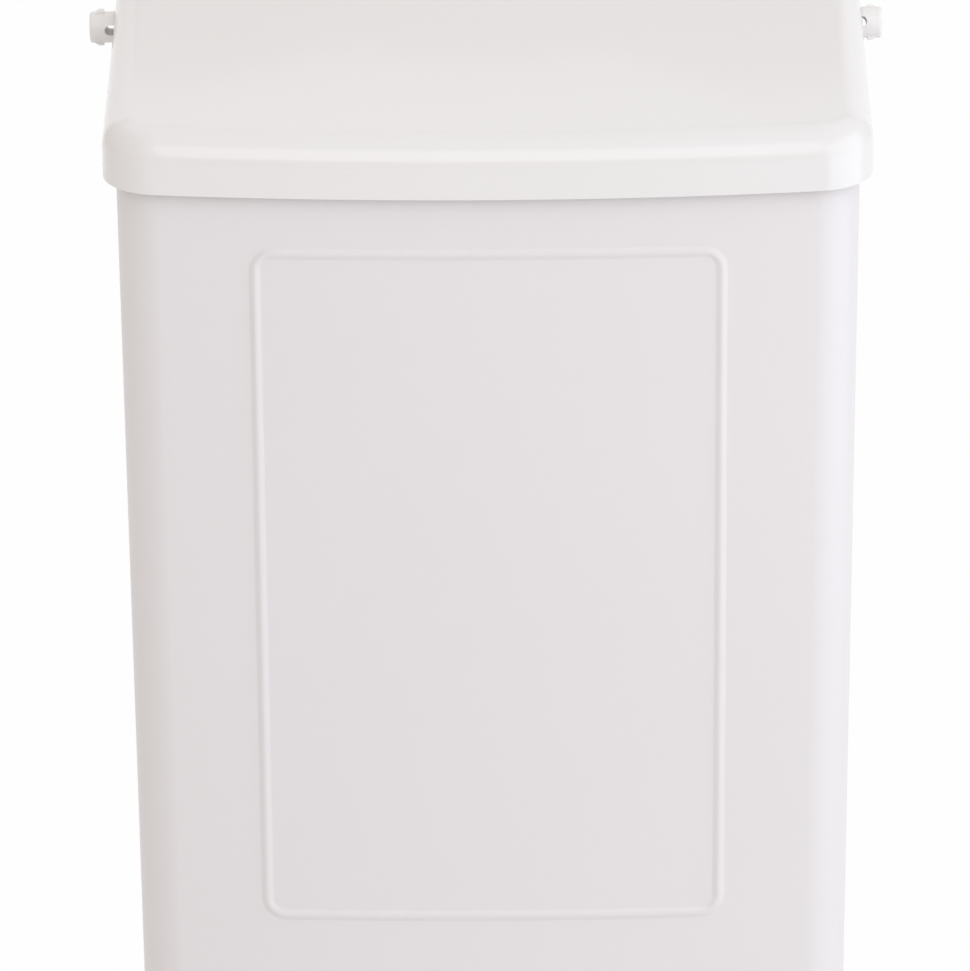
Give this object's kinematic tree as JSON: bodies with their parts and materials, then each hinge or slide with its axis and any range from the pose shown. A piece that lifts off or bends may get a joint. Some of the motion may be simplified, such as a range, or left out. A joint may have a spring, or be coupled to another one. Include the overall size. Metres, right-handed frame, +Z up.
{
  "type": "sanitary container",
  "caption": "Wall-hung sanitary bin with a tapered moulded body, a framed bare front and a sloping lid hinged on snap pins.",
  "frame": {"origin": "middle of the wall bracket's back face, on the wall plane", "axes": "+Z up, +Y into the wall, +X to the right as seen from the room"},
  "size_m": [0.223, 0.1593, 0.2762],
  "materials": {
    "container_white": "satin moulded",
    "lid_white": "glossy moulded",
    "pin_nylon": "natural nylon",
    "ring_grey": "matte moulded",
    "bracket_white": "matte moulded",
    "screw_steel": "bright zinc plated",
    "plug_grey": "matte moulded"
  },
  "bodies": {
    "wall_mount": {"wall_bracket": "bracket_white", "wall_screw_left": "screw_steel", "wall_screw_right": "screw_steel", "wall_plug_left": "plug_grey", "wall_plug_right": "plug_grey"},
    "container": {"container": "container_white", "hinge_pin_left": "pin_nylon", "hinge_pin_right": "pin_nylon", "bag_ring": "ring_grey"},
    "lid": {"lid": "lid_white"}
  },
  "joints": [
    {"name": "lift_off", "type": "slide", "parent": "wall_mount", "child": "container", "axis": [0, 0, 1], "range_m": [0, 0.012]},
    {"name": "lid_hinge", "type": "hinge", "parent": "container", "child": "lid", "pos_m": [0, -0.017, 0.043], "axis": [-1, 0, 0], "range_deg": [0, 98]}
  ]
}
